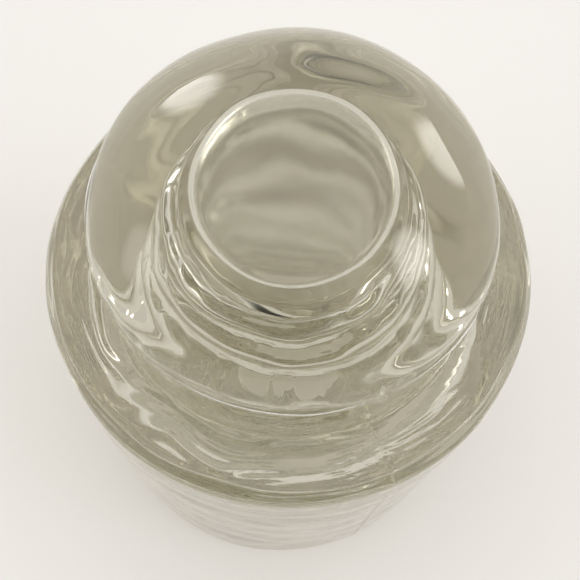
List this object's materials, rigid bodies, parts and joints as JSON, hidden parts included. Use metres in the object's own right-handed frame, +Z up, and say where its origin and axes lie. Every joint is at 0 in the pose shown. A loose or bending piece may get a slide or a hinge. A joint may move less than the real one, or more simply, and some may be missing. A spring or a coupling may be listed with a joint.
{
  "type": "pin insulator",
  "caption": "Domed pressed-glass pin insulator with a side wire groove, sloping shoulder, outer and inner skirts and a threaded pinhole.",
  "frame": {"origin": "centre of the base rim, on the surface the insulator stands on", "axes": "+Z up along the insulator's axis, from the base rim to the top of the dome"},
  "size_m": [0.0748, 0.0748, 0.1016],
  "materials": {
    "clear_glass": "fire-polished pressed glass"
  },
  "bodies": {
    "root": {"glass_body": "clear_glass"}
  },
  "joints": []
}
